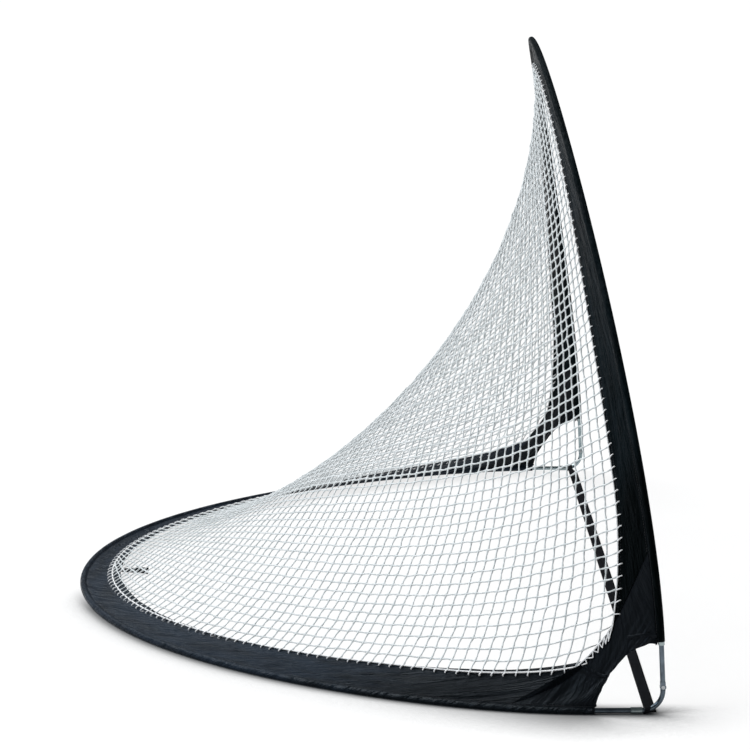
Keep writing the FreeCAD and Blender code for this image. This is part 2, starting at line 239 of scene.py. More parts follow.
# %% Threads and cords from paths
def ring_points(path, radius, sides, guide):
    """Rings round an open path. The guide is a direction at each point that isn't along it."""
    ahead = unit(np.gradient(path, axis=0))
    side = unit(np.cross(ahead, guide))
    top = np.cross(side, ahead)
    angle = 2 * np.pi * (np.arange(sides) + 0.5) / sides
    spoke = (np.cos(angle)[None, :, None] * side[:, None]
             + np.sin(angle)[None, :, None] * top[:, None])
    return path[:, None] + spoke * np.broadcast_to(radius, len(path))[:, None, None]


def threads(name, paths, sides, finish):
    """One mesh of many open threads: each has a path, a radius and a guide direction."""
    points = []
    faces = []
    start = 0
    for path, radius, guide in paths:
        rings = ring_points(path, radius, sides, guide)
        count = len(path)
        points.append(rings.reshape(-1, 3))
        for r in range(count - 1):
            for k in range(sides):
                a = start + r * sides + k
                b = start + r * sides + (k + 1) % sides
                faces.append((a, b, b + sides, a + sides))
        faces.append(tuple(range(start + sides - 1, start - 1, -1)))
        faces.append(tuple(range(start + (count - 1) * sides, start + count * sides)))
        start += count * sides
    return make_object(name, np.concatenate(points), faces, finish)


# %% [markdown]
# ## Finishes
# Every finish is a small tree of nodes: one Principled shader, with noise and wave patterns for
# colour, roughness and bump. Numbers that are the same everywhere are set on the shader itself,
# because an exported model keeps a plain number and can lose one that comes through a node.

# %% Helpers for node trees
def new_finish(name, colour, roughness, metallic=0.0):
    finish = bpy.data.materials.new(name)
    finish.use_nodes = True
    shader = finish.node_tree.nodes["Principled BSDF"]
    shader.inputs["Base Color"].default_value = (*colour, 1)
    shader.inputs["Roughness"].default_value = roughness
    shader.inputs["Metallic"].default_value = metallic
    return finish, shader


def node(finish, kind, **settings):
    made = finish.node_tree.nodes.new("ShaderNode" + kind)
    for key, value in settings.items():
        if key in made.inputs:
            made.inputs[key].default_value = value
        else:
            setattr(made, key, value)
    return made


def join(finish, source, target):
    finish.node_tree.links.new(source, target)


def stretched(finish, space, scale, turn=0.0):
    """Pattern coordinates, from the object or the cloth's own length and width, in metres."""
    if space == "cloth":
        source = node(finish, "UVMap", uv_map="cloth").outputs["UV"]
    else:
        source = node(finish, "TexCoord").outputs["Object"]
    mapping = node(finish, "Mapping")
    mapping.inputs["Scale"].default_value = scale
    if turn:
        mapping.vector_type = "TEXTURE"
        mapping.inputs["Scale"].default_value = [1 / value for value in scale]
        mapping.inputs["Rotation"].default_value = (0, 0, turn)
    join(finish, source, mapping.inputs["Vector"])
    return mapping.outputs["Vector"]


def noise(finish, place, scale, detail=3.0, roughness=0.55):
    made = node(finish, "TexNoise")
    made.inputs["Scale"].default_value = scale
    made.inputs["Detail"].default_value = detail
    made.inputs["Roughness"].default_value = roughness
    join(finish, place, made.inputs["Vector"])
    return made.outputs["Fac"]


def between(finish, factor, low, high):
    """A value that runs from low to high with the factor."""
    made = node(finish, "MapRange")
    made.inputs["To Min"].default_value = low
    made.inputs["To Max"].default_value = high
    join(finish, factor, made.inputs["Value"])
    return made.outputs["Result"]


def colours(finish, factor, dark, light, low=0.3, high=0.7):
    ramp = node(finish, "ValToRGB")
    ramp.color_ramp.elements[0].position = low
    ramp.color_ramp.elements[0].color = (*dark, 1)
    ramp.color_ramp.elements[1].position = high
    ramp.color_ramp.elements[1].color = (*light, 1)
    join(finish, factor, ramp.inputs["Fac"])
    return ramp.outputs["Color"]


def bump(finish, height, depth, strength=1.0, below=None):
    made = node(finish, "Bump")
    made.inputs["Strength"].default_value = strength
    made.inputs["Distance"].default_value = depth
    join(finish, height, made.inputs["Height"])
    if below is not None:
        join(finish, below, made.inputs["Normal"])
    return made.outputs["Normal"]


# %% [markdown]
# ### Sleeve nylon
# The sleeves are black coated nylon with a blue-grey sheen. The light catches long creases, so a
# stretched noise bends the surface in streaks that cross the sleeve at a slant, and a much finer
# crossing of two waves gives the weave.

# %% Sleeve nylon
YARNS = 250.0


def painted_shade_by_mouth(finish, factor, near, far):
    """The factor, held low near the sleeve's first mouth: painted shade on the cloth there."""
    apart = node(finish, "SeparateXYZ")
    join(finish, stretched(finish, "cloth", (1, 1, 1)), apart.inputs["Vector"])
    reach = node(finish, "MapRange", interpolation_type="SMOOTHSTEP")
    reach.inputs["From Min"].default_value = near
    reach.inputs["From Max"].default_value = far
    reach.inputs["To Min"].default_value = 0.3
    join(finish, apart.outputs["X"], reach.inputs["Value"])
    product = node(finish, "Math", operation="MULTIPLY")
    join(finish, factor, product.inputs[0])
    join(finish, reach.outputs["Result"], product.inputs[1])
    return product.outputs["Value"]


def nylon(name, dark, light, gloss, crease_turn, crease_depth, near=-0.2, far=-0.1):
    """Near and far are where, in metres along the cloth, the colour leaves its painted shade by the
    first mouth.
    """
    finish, shader = new_finish(name, dark, 0.42)
    shader.inputs["Specular IOR Level"].default_value = gloss
    shader.inputs["Specular Tint"].default_value = (0.68, 0.84, 1.0, 1)
    shader.inputs["Sheen Weight"].default_value = 0.015
    shader.inputs["Sheen Roughness"].default_value = 0.42
    shader.inputs["Sheen Tint"].default_value = (0.62, 0.74, 1.0, 1)
    patch = noise(finish, stretched(finish, "cloth", (9, 30, 1)), 1.0, 4)
    # Painted shade: the colour is held dark near the sleeve's first mouth.
    shade = painted_shade_by_mouth(finish, patch, near, far)
    join(finish, colours(finish, shade, dark, light, 0.2, 0.62), shader.inputs["Base Color"])
    join(finish, between(finish, patch, 0.30, 0.46), shader.inputs["Roughness"])
    streaks = noise(finish, stretched(finish, "cloth", (11, 46, 1), crease_turn), 1.0, 5, 0.6)
    creased = bump(finish, streaks, crease_depth)
    crumple = noise(finish, stretched(finish, "object", (1, 1, 1)), 60.0, 3)
    crumpled = bump(finish, crumple, 0.0009, 0.6, creased)
    weave = node(finish, "Math", operation="MULTIPLY")
    place = stretched(finish, "cloth", (1, 1, 1))
    for slot, way in enumerate(("X", "Y")):
        yarns = node(finish, "TexWave", bands_direction=way)
        yarns.inputs["Scale"].default_value = YARNS
        join(finish, place, yarns.inputs["Vector"])
        join(finish, yarns.outputs["Fac"], weave.inputs[slot])
    woven = bump(finish, weave.outputs["Value"], 0.00012, 0.5, crumpled)
    join(finish, woven, shader.inputs["Normal"])
    return finish


# One nylon in three copies. The ground sleeve's lighter, bluer colour is painted sheen from the
# light above it.
ground_nylon_painted_sheen = nylon("ground_nylon_painted_sheen", (0.001, 0.002, 0.003), (0.009, 0.016, 0.027),
                     gloss=0.15, crease_turn=-0.66, crease_depth=0.016, near=0.30, far=0.66)
upright_nylon = nylon("upright_nylon", (0.001, 0.002, 0.002), (0.004, 0.008, 0.010),
                      gloss=0.02, crease_turn=0.17, crease_depth=0.018, near=0.26, far=0.42)
gusset_nylon = nylon("gusset_nylon", (0.002, 0.002, 0.003), (0.004, 0.005, 0.006),
                     gloss=0.12, crease_turn=0.9, crease_depth=0.006)

# %% [markdown]
# ### Webbing, stitching and twine
# Webbing has ribs across its width. Net twine and its cord are white polyester: rough, a little
# uneven in tone, and twisted, which a tight wave along the object gives.

# %% Webbing, stitching and twine
def make_webbing():
    finish, shader = new_finish("black_webbing", (0.010, 0.011, 0.013), 0.6)
    shader.inputs["Sheen Weight"].default_value = 0.008
    shader.inputs["Specular IOR Level"].default_value = 0.04
    shader.inputs["Sheen Roughness"].default_value = 0.4
    shader.inputs["Sheen Tint"].default_value = (0.7, 0.8, 1.0, 1)
    ribs = node(finish, "TexWave", bands_direction="X")
    ribs.inputs["Scale"].default_value = 190.0
    ribs.inputs["Distortion"].default_value = 0.6
    join(finish, stretched(finish, "cloth", (1, 1, 1)), ribs.inputs["Vector"])
    worn = noise(finish, stretched(finish, "cloth", (30, 160, 1)), 1.0, 4)
    colour = colours(finish, worn, (0.004, 0.004, 0.005), (0.010, 0.011, 0.014))
    join(finish, colour, shader.inputs["Base Color"])
    join(finish, between(finish, worn, 0.5, 0.7), shader.inputs["Roughness"])
    join(finish, bump(finish, ribs.outputs["Fac"], 0.0003, 0.8), shader.inputs["Normal"])
    return finish


def make_white(name, low, high, twist):
    finish, shader = new_finish(name, high, 0.72)
    shader.inputs["Sheen Weight"].default_value = 0.15
    tone = noise(finish, stretched(finish, "object", (1, 1, 1)), 26.0, 3)
    join(finish, colours(finish, tone, low, high), shader.inputs["Base Color"])
    join(finish, between(finish, tone, 0.62, 0.82), shader.inputs["Roughness"])
    strands = node(finish, "TexWave", bands_direction="DIAGONAL")
    strands.inputs["Scale"].default_value = twist
    strands.inputs["Distortion"].default_value = 1.5
    join(finish, stretched(finish, "object", (1, 1, 1)), strands.inputs["Vector"])
    join(finish, bump(finish, strands.outputs["Fac"], 0.0002, 0.7), shader.inputs["Normal"])
    return finish


def make_thread():
    finish, shader = new_finish("black_thread", (0.02, 0.022, 0.026), 0.5)
    shine = noise(finish, stretched(finish, "object", (1, 1, 1)), 400.0, 2)
    join(finish, between(finish, shine, 0.4, 0.65), shader.inputs["Roughness"])
    return finish


black_webbing = make_webbing()
net_white = make_white("net_white", (0.60, 0.64, 0.65), (0.75, 0.78, 0.79), 240.0)
cord_white = make_white("cord_white", (0.78, 0.79, 0.80), (0.90, 0.90, 0.90), 130.0)
black_thread = make_thread()

# %% [markdown]
# ### Steel and fibreglass
# The corner tubes are steel with a dark, blue-grey, bright plating. One recipe makes all the
# metals here: a stain in the colour, and a finer noise that dulls the shine in places and
# gives a very shallow bump. The right corner's tubes get a paler copy: a painted reflection.

# %% Steel and fibreglass
def make_steel(name, dark, light, smooth, dull):
    finish, shader = new_finish(name, light, smooth, 1.0)
    stain = noise(finish, stretched(finish, "object", (1, 1, 1)), 38.0, 5, 0.6)
    join(finish, colours(finish, stain, dark, light), shader.inputs["Base Color"])
    rub = noise(finish, stretched(finish, "object", (1, 1, 1)), 130.0, 4, 0.65)
    join(finish, between(finish, rub, smooth, dull), shader.inputs["Roughness"])
    join(finish, bump(finish, rub, 0.00006, 0.5), shader.inputs["Normal"])
    return finish


plated_steel = make_steel("plated_steel", (0.05, 0.065, 0.08), (0.14, 0.17, 0.20), 0.12, 0.28)
# A paler copy of the plated steel, its colour a painted reflection, for the right corner's tubes.
steel_painted_reflection = make_steel("steel_painted_reflection", (0.20, 0.26, 0.28), (0.36, 0.43, 0.45), 0.18, 0.34)
collar_bright = make_steel("collar_bright", (0.20, 0.24, 0.25), (0.38, 0.44, 0.44), 0.14, 0.30)
pin_bright = make_steel("pin_bright", (0.25, 0.27, 0.28), (0.46, 0.48, 0.50), 0.22, 0.40)
ferrule_dull = make_steel("ferrule_dull", (0.30, 0.30, 0.28), (0.45, 0.44, 0.41), 0.30, 0.50)
rod_glass, rod_shader = new_finish("rod_glass", (0.55, 0.55, 0.50), 0.35)
fibres = noise(rod_glass, stretched(rod_glass, "object", (40, 40, 40)), 8.0, 3)
join(rod_glass, colours(rod_glass, fibres, (0.42, 0.43, 0.38), (0.62, 0.61, 0.55)),
     rod_shader.inputs["Base Color"])

# %% [markdown]
# ## Carried-over CAD pieces
# Rods, ferrules, end tubes, elbows, couplings, rings and pins are right as they are. They keep
# their CAD mesh and only get a better finish in each material slot.

# %% Give the CAD pieces their finishes
CAD_FINISHES = {
    "ground_rod": rod_glass, "upright_rod": rod_glass,
    "tip_ferrule": ferrule_dull, "crown_ferrule": ferrule_dull,
    "ground_end_tube": plated_steel, "upright_end_tube": plated_steel, "elbow": plated_steel,
    "ground_coupling": collar_bright, "upright_mouth_ring": collar_bright,
    "fold_pin": pin_bright,
}
for key, finish in CAD_FINISHES.items():
    for name in (key, key + "_left", key + "_right"):
        piece = bpy.data.objects.get(name)
        if piece is not None:
            # The right corner's tubes get the copy with the painted reflection.
            far_tube_painted_reflection = name.endswith("right") and finish is plated_steel
            for place in piece.material_slots:
                place.material = steel_painted_reflection if far_tube_painted_reflection else finish
            print(name, "is now", piece.material_slots[0].material.name)

# %% [markdown]
# ## The sewn sleeves
# Each sleeve is one long strip of nylon, folded over the rod and sewn to itself. So its section
# is a path: in from the net's edge on top, round the rod, and back out underneath. The stitching
# just inside the rod makes a round pocket, and the rest is the flat band that the net is laced
# to. A cloth simulation could find the folds, but stretched cloth hardly moves, so the wrinkles
# are part of the shape: a few waves with fixed random phases, crossing at a slant.

# %% Sleeve sizes
POCKET_MIDDLE = 0.0062
SEAM_FROM_ROD = 0.0072
UPRIGHT_BAND = (0.113, 0.057)
UPRIGHT_NARROWING = (0.45, 0.95)
CORNER_BAND = 0.220
CORNER_BAND_END = 0.30
GROUND_BAND = (0.218, 0.061)
HEM = {"upright": 0.0008, "ground": 0.0032}
CORNER_HEM = 0.012
CORNER_HEM_ENDS = (0.26, 0.42)
TIP_HEM = 0.014
TIP_HEM_GROWS = (0.62, 0.92)
GUSSET_END = 0.150
BAND_START = 0.154
BAND_BY_GUSSET = 0.0035
CORNER_SLANT = 0.012
LAYER_GAP = 0.00035
CLOTH_THICK = 0.00045
SLEEVE_MOUTH = {"upright": 0.0063, "ground": 0.0}
SLEEVE_STEP = 0.006


def directions(tau, distance, step=0.004):
    """Unit directions on the membrane: along the hoops, along the section, and outwards."""
    low = np.maximum(tau - step, 0)
    high = np.minimum(tau + step, 2)
    along = unit(membrane(high, distance) - membrane(low, distance))
    across = unit(membrane(tau, distance + 0.002) - membrane(tau, distance - 0.002))
    return along, across, unit(np.cross(along, across))


def rod_centre(hoop, tau):
    points = on_half_hoop(HOOP_POLES[hoop], fold_in(tau))
    points[:, 0] *= np.where(tau > 1, -1, 1)
    return points


def rod_way(hoop, tau, step=0.002):
    low = np.maximum(tau - step, 0)
    high = np.minimum(tau + step, 2)
    return unit(rod_centre(hoop, high) - rod_centre(hoop, low))


def seam_distance(hoop, tau):
    """Where the pocket's seam crosses the section, a fixed room from the rod, measured square."""
    start = 0 * tau if hoop == "upright" else section_length(tau)
    _, across, _ = directions(tau, start)
    room = SEAM_FROM_ROD / np.linalg.norm(np.cross(rod_way(hoop, tau), across), axis=1)
    return start + room if hoop == "upright" else start - room


def ease(value, first, last):
    """0 up to the first place, 1 from the last, and a smooth slope between them."""
    way = np.clip((value - first) / (last - first), 0, 1)
    return way * way * (3 - 2 * way)


def corner_hem(tau):
    """Near a corner the ground sleeve's hem reaches further past the net's cord."""
    return CORNER_HEM * (1 - ease(fold_in(tau), *CORNER_HEM_ENDS))


def hem_past_cord(hoop, tau):
    """How far the band's folded hem reaches past the cord. It is widest round the rear tip."""
    if hoop == "upright":
        return HEM["upright"] + 0 * tau
    return HEM["ground"] + TIP_HEM * ease(fold_in(tau), *TIP_HEM_GROWS) + corner_hem(tau)


def edge_distance(hoop, tau):
    """Where the net's border cord crosses the section."""
    t = fold_in(tau)
    if hoop == "ground":
        return section_length(tau) - evenly(GROUND_BAND, t) + corner_hem(tau)
    narrowed = ease(t, *UPRIGHT_NARROWING)
    corner = np.maximum(0, 1 - t / CORNER_BAND_END) ** 2
    return UPRIGHT_BAND[0] + (UPRIGHT_BAND[1] - UPRIGHT_BAND[0]) * narrowed + CORNER_BAND * corner


for hoop in HOOP_POLES:
    widths = [abs(float((edge_distance(hoop, at) - seam_distance(hoop, at))[0]))
              for at in (np.array([0.3]), np.array([1.0]))]
    print("%s band %.0f mm wide near a corner, %.0f mm at its middle" % (
        hoop, widths[0] * 1000, widths[1] * 1000))


# %% Wrinkles
def waves(seed, count, longest, shortest, slant, spread):
    """Fixed random waves: height, wave numbers along and across, and phase."""
    pick = np.random.default_rng(seed)
    length = np.geomspace(longest, shortest, count)
    angle = slant + spread * pick.uniform(-1, 1, count)
    return (length / longest, 2 * np.pi / length * np.cos(angle),
            2 * np.pi / length * np.sin(angle), pick.uniform(0, 2 * np.pi, count))


def wrinkle(kind, along, across):
    total = np.zeros(np.broadcast(along, across).shape)
    for height, number_along, number_across, phase in zip(*kind):
        swing = np.sin(number_along * along + number_across * across + phase)
        total += height * (0.6 * swing + 0.8 * (0.5 - np.abs(swing)))
    patches = 0.55 + 0.45 * np.sin(along * 19 + across * 31) * np.sin(along * 7.3 + 1.9)
    return total * patches / np.sqrt(len(kind[0]))


SLEEVE_WAVES = {
    "ground": waves(seed=11, count=7, longest=0.13, shortest=0.030, slant=0.92, spread=0.24),
    "upright": waves(seed=5, count=6, longest=0.17, shortest=0.040, slant=1.73, spread=0.14),
}
WRINKLE_HEIGHT = {"ground": 0.0090, "upright": 0.0050}
print("wrinkles up to", WRINKLE_HEIGHT)


# %% Stations along a hoop
def even_stations(hoop, first, step):
    """Tau values at even steps of length along the rod, from one mouth to the other."""
    fine = np.linspace(first, 1, 600)
    length = lengths_along(on_half_hoop(HOOP_POLES[hoop], fine))
    count = int(length[-1] / step)
    half = np.interp(np.linspace(0, length[-1], count + 1), length, fine)
    tau = np.concatenate([half, 2 - half[-2::-1]])
    along = np.linspace(0, 2 * length[-1], 2 * count + 1)
    return tau, along


def with_cut(tau, along):
    """Adds the two close rows where the band ends in a straight cut beside the gusset."""
    cuts = np.array([GUSSET_END, BAND_START, 2 - BAND_START, 2 - GUSSET_END])
    places = np.interp(cuts, tau, along)
    order = np.argsort(np.concatenate([tau, cuts]))
    return np.concatenate([tau, cuts])[order], np.concatenate([along, places])[order]


# %% One line of the band
FLAT_BY_SEAM = 0.018
HELD_BY_HEM = 0.55
FLAT_BY_GUSSET = 0.06


def band(hoop, tau, share, along):
    """Middle of the two layers, wrinkled, at a share of the way from seam to net edge."""
    seam = seam_distance(hoop, tau)
    edge = edge_distance(hoop, tau)
    sign = 1 if hoop == "upright" else -1
    edge = edge + sign * hem_past_cord(hoop, tau)
    in_gusset = fold_in(tau) < (GUSSET_END + BAND_START) / 2
    edge = np.where(in_gusset, seam + sign * BAND_BY_GUSSET, edge)
    distance = seam + (edge - seam) * share
    place = membrane(tau, distance)
    _, _, outward = directions(tau, distance)
    width = np.abs(edge - seam) * share
    free = np.clip(width / FLAT_BY_SEAM, 0, 1) * (1 - HELD_BY_HEM * share)
    free = free * np.clip((fold_in(tau) - BAND_START) / FLAT_BY_GUSSET, 0, 1)
    mirrored = np.where(tau > 1, along.max() - along, along)
    height = WRINKLE_HEIGHT[hoop] * free * wrinkle(SLEEVE_WAVES[hoop], mirrored, width)
    return place + outward * height[:, None], outward, width


# %% Build the sleeves
BAND_LINES = 23
POCKET_ANGLES = np.radians(np.linspace(22, 338, 17))
POCKET_PUFF = 0.035
HEM_SHARE = 0.85
HEM_THICKER = 0.0003


def build_sleeve(hoop, finish):
    tau, along = with_cut(*even_stations(hoop, SLEEVE_MOUTH[hoop], SLEEVE_STEP))
    rod = rod_centre(hoop, tau)
    way = rod_way(hoop, tau)
    start = 0 * tau if hoop == "upright" else section_length(tau)
    _, across, _ = directions(tau, start)
    inward = across if hoop == "upright" else -across
    inward = unit(inward - way * (inward * way).sum(axis=1, keepdims=True))
    outward = np.cross(way, inward) * (1 if hoop == "upright" else -1)
    top, turn, below = [], [], []
    for share in np.linspace(1, 0, BAND_LINES):
        place, normal, width = band(hoop, tau, np.full(len(tau), share), along)
        lift = normal * (LAYER_GAP + (HEM_THICKER if share > HEM_SHARE else 0.0))
        top.append((place + lift, width))
        below.append((place - lift, -2 * math.pi * POCKET_MIDDLE - width))
    gathers = waves(seed=3, count=5, longest=0.09, shortest=0.014, slant=0.0, spread=0.9)
    gather = wrinkle(gathers, along, 0 * along)
    for angle in POCKET_ANGLES:
        puff = POCKET_MIDDLE * (1 + POCKET_PUFF * gather * math.sin(angle / 2 + 0.6) ** 2)
        spoke = inward * math.cos(angle) + outward * math.sin(angle)
        turn.append((rod + spoke * puff[:, None], np.full(len(tau), -POCKET_MIDDLE * angle)))
    columns, run = zip(*(top + turn + below[::-1]))
    grid = np.stack(columns, axis=1)
    uv = np.stack([np.broadcast_to(along[:, None], grid.shape[:2]), np.stack(run, axis=1)], axis=2)
    piece = cloth(hoop + "_sleeve", grid, CLOTH_THICK, finish, uv)
    sides = np.linalg.norm(np.cross(grid[1:, :-1] - grid[:-1, :-1],
                                    grid[:-1, 1:] - grid[:-1, :-1]), axis=2)
    print("%s sleeve: %.2f m along, cloth %.3f m2" % (hoop, along[-1], sides.sum()))
    return piece, float(sides.sum()), along[-1]


upright_sleeve, upright_area, upright_run = build_sleeve("upright", upright_nylon)
ground_sleeve, ground_area, ground_run = build_sleeve("ground", ground_nylon_painted_sheen)
for hoop, piece in (("upright", upright_sleeve), ("ground", ground_sleeve)):
    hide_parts(hoop + "_rod_pocket", hoop + "_sleeve_band")
    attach(piece, hoop + "_hoop")

# %% [markdown]
# ## The corner gussets
# In each lower corner a triangle of the same nylon closes the gap between the two sleeves. It
# is sewn to both, and its free edge is cut straight, where the net's corner is laced to it.
# It has to bend when the hoops fold, and here it is attached to neither hoop's body.

# %% Shape of a gusset
GUSSET_ROWS = 61
GUSSET_COLUMNS = 56
GUSSET_THICK = 0.0011
RIPPLE, LOW_GATHER, HIGH_CREASE = 0.0036, 0.0013, 0.0016
CUT_SHARES = (0, 0.07, 0.19, 0.29, 0.36, 0.40, 0.50, 0.58, 0.64, 0.78, 0.90, 1)
CUT_TAUS = (0.006, 0.016, 0.029, 0.044, 0.056, 0.063, 0.070, 0.072, 0.053, 0.016, 0.006, 0.001)


def cut_way(share):
    """From 0 at the upright band's edge to 1 at the ground band's edge, and 0 past that."""
    tau = np.array([BAND_START + 0.01])
    upper = seam_distance("upright", tau)
    lower = seam_distance("ground", tau)
    first = (edge_distance("upright", tau) - upper) / (lower - upper)
    last = (edge_distance("ground", tau) - upper) / (lower - upper)
    way = ((share - first) / (last - first))[0]
    return max(0.0, way) if way < 1.05 else 0.0


def gusset_grid(side):
    """Rows run from the upright seam to the ground seam, each from the cut to the net's corner."""
    rows = []
    ripples = waves(seed=8, count=5, longest=0.09, shortest=0.02, slant=0.9, spread=0.5)
    for share in np.linspace(0, 1, GUSSET_ROWS):
        cut = np.interp(share, CUT_SHARES, CUT_TAUS)
        reach = BAND_START + 0.002 + CORNER_SLANT * cut_way(share)
        stations = cut + (reach - cut) * np.linspace(0, 1, GUSSET_COLUMNS) ** 1.4
        tau = stations if side == "left" else 2 - stations
        upper = seam_distance("upright", tau)
        lower = seam_distance("ground", tau)
        distance = upper + (lower - upper) * share
        place = membrane(tau, distance)
        _, _, outward = directions(tau, distance)
        calm = math.sin(math.pi * share) * np.clip(stations / 0.03, 0, 1)
        calm = calm * np.clip((BAND_START - stations) / 0.04, 0, 1)
        ripple = wrinkle(ripples, distance, stations * 1.2)
        from_cut = stations - cut
        low = np.clip((share - 0.60) / 0.10, 0, 1) * np.clip((1 - share) / 0.05, 0, 1)
        high = np.clip((0.36 - share) / 0.08, 0, 1) * np.clip(share / 0.05, 0, 1)
        gathered = np.sin(from_cut * 620 + 1.3 * np.sin(share * 19))
        gathered = gathered * np.exp(-(from_cut / 0.040) ** 2)
        creased = np.sin(from_cut * 300 + share * 40) * np.exp(-(from_cut / 0.045) ** 2)
        height = RIPPLE * calm * ripple + LOW_GATHER * low * gathered + HIGH_CREASE * high * creased
        rows.append(place + outward * height[:, None])
    return np.stack(rows, axis=0)


# %% Build the gussets
def cut_size(grid):
    """Width and length of the rectangle round a nearly flat grid of cloth, and the cloth's area."""
    down, across = np.diff(grid, axis=0), np.diff(grid, axis=1)
    first = np.linalg.norm(np.cross(down[:, :-1], across[:-1]), axis=2)
    second = np.linalg.norm(np.cross(down[:, 1:], across[1:]), axis=2)
    points = grid.reshape(-1, 3) - grid.reshape(-1, 3).mean(axis=0)
    own_axes = np.linalg.svd(points, full_matrices=False)[2]
    length, width, _ = np.ptp(points @ own_axes.T, axis=0)
    return width, length, (first + second).sum() / 2


gussets, gusset_cuts = {}, {}
for side in ("left", "right"):
    grid = gusset_grid(side)
    gusset_cuts[side] = cut_size(grid)
    if side == "right":
        grid = grid[:, ::-1]
    uv = np.stack([lengths_along(grid.transpose(1, 0, 2)).T, lengths_along(grid)], axis=2)
    piece = cloth("gusset_cloth_" + side, grid, GUSSET_THICK, gusset_nylon, uv)
    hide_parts("corner_gusset_" + side)
    gussets[side] = piece

# %% [markdown]
# A seam runs over each gusset where it meets the ground sleeve, and a hem follows its cut edge.
# Both are folded tapes of cloth: a line of a few points on the gusset, made into a low arch.

# %% Seams and hems on the gussets
TAPE_WIDTH = 0.006
TAPE_THICK = 0.0008
SEAM_LINES = {
    "gusset_seam": ((0.1637, 0.2622), (0.1297, 0.2272), (0.1042, 0.1991), (0.0740, 0.1640)),
    "gusset_hem": ((0.1000, 0.1120), (0.0609, 0.0593), (0.0380, 0.0290), (0.0210, 0.0085)),
}


def gusset_tape(name, side, line):
    """A folded edge of cloth, raised on the gusset, along points given as tau and distance."""
    line = np.array(line)
    fine = np.linspace(0, len(line) - 1, 26)
    tau = np.interp(fine, np.arange(len(line)), line[:, 0])
    distance = np.interp(fine, np.arange(len(line)), line[:, 1])
    tau = tau if side == "left" else 2 - tau
    path = membrane(tau, distance)
    _, _, outward = directions(tau, distance)
    ahead = unit(np.gradient(path, axis=0))
    sideways = np.cross(ahead, outward)
    columns = np.linspace(-0.5, 0.5, 7)
    crown = 0.0008 + 0.0007 * (1 - (2 * columns) ** 4)
    grid = (path[:, None] + sideways[:, None] * (columns * TAPE_WIDTH)[None, :, None]
            + outward[:, None] * crown[None, :, None])
    if side == "right":
        grid = grid[:, ::-1]
    run = np.broadcast_to(lengths_along(path)[:, None], grid.shape[:2])
    across = np.broadcast_to((columns * TAPE_WIDTH)[None], grid.shape[:2])
    uv = np.stack([run, across], axis=2)
    piece = cloth(name + "_" + side, grid, TAPE_THICK, gusset_nylon, uv)
    return piece


gusset_trims = []
for side in ("left", "right"):
    for name, line in SEAM_LINES.items():
        gusset_trims.append(gusset_tape(name, side, line))

# %% [markdown]
# ## The net
# The real net is one flat square of knotted mesh. Two of its sides are laced to the ground
# sleeve and two to the upright sleeve, so its diagonal runs down the middle from crown to tip.
# To put it on the membrane, every knot is moved to the mean of its four neighbours and kept on
# the surface, again and again, until it rests. That is how stretched netting settles.

# %% A table of the net's surface
NET_MESHES = 64
CORD_LIFT = 0.0022
LIFT_ENDS = 0.03
TABLE_STEPS = 360
TABLE_SHARES = 120


def net_tau(step, share):
    """Real tau at a step from -1 to 1 across the net. The cut corner slants with the share."""
    return 1 + step * (1 - BAND_START - CORNER_SLANT * share)


def net_surface_table():
    columns = []
    for share in np.linspace(0, 1, TABLE_SHARES + 1):
        taus = net_tau(np.linspace(-1, 1, TABLE_STEPS + 1), share)
        upper = edge_distance("upright", taus)
        lower = edge_distance("ground", taus)
        distance = upper + (lower - upper) * share
        _, _, outward = directions(taus, distance)
        room = (lower - upper) * min(share, 1 - share)
        lift = CORD_LIFT * np.clip(1 - room / LIFT_ENDS, 0, 1)
        columns.append(membrane(taus, distance) + outward * lift[:, None])
    return np.stack(columns, axis=1)


net_table = net_surface_table()
print("net surface table", net_table.shape)


def net_point(step, share):
    """Point of the net's surface between its two edges, read from the table."""
    row = (np.clip(step, -1, 1) + 1) * (TABLE_STEPS / 2)
    column = np.clip(share, 0, 1) * TABLE_SHARES
    r = np.minimum(row.astype(int), TABLE_STEPS - 1)
    c = np.minimum(column.astype(int), TABLE_SHARES - 1)
    a = (row - r)[..., None]
    b = (column - c)[..., None]
    return (net_table[r, c] * (1 - a) * (1 - b) + net_table[r + 1, c] * a * (1 - b)
            + net_table[r, c + 1] * (1 - a) * b + net_table[r + 1, c + 1] * a * b)


# %% Knots along the four edges
def edge_steps(share, count):
    """Even steps of length along one net edge, from the left corner to the middle."""
    fine = np.linspace(-1, 0, 500)
    line = net_point(fine, np.full(500, float(share)))
    length = lengths_along(line)
    print("net edge %.3f m, mesh %.1f mm" % (length[-1], length[-1] / count * 1000))
    return np.interp(np.linspace(0, length[-1], count + 1), length, fine)


def starting_knots():
    """Knot (i, j): i and j count from the tip along the left and the right ground edge."""
    last = NET_MESHES
    ground = edge_steps(1, last - 2)[::-1]
    upright = edge_steps(0, last - 2)
    step = np.zeros((last + 1, last + 1))
    share = np.zeros((last + 1, last + 1))
    step[:last - 1, 0] = ground
    step[last, 2:] = upright
    step[0, :last - 1] = -ground
    step[2:, last] = -upright
    share[:last - 1, 0] = 1
    share[0, :last - 1] = 1
    step[last - 1, 1] = -1
    step[1, last - 1] = 1
    share[last - 1, 1] = share[1, last - 1] = 0.5
    i, j = np.meshgrid(np.arange(1, last), np.arange(1, last), indexing="ij")
    inside = (i != last - 1) | (j != 1)
    inside &= (i != 1) | (j != last - 1)
    guess_step = -(i - j) / (last - 1)
    guess_share = 1 - (i + j) / (2 * last)
    step[1:-1, 1:-1] = np.where(inside, guess_step, step[1:-1, 1:-1])
    share[1:-1, 1:-1] = np.where(inside, guess_share, share[1:-1, 1:-1])
    return step, share, inside


# %% Let the net settle
SETTLE_ROUNDS = 2500
SETTLE_PART = 0.95


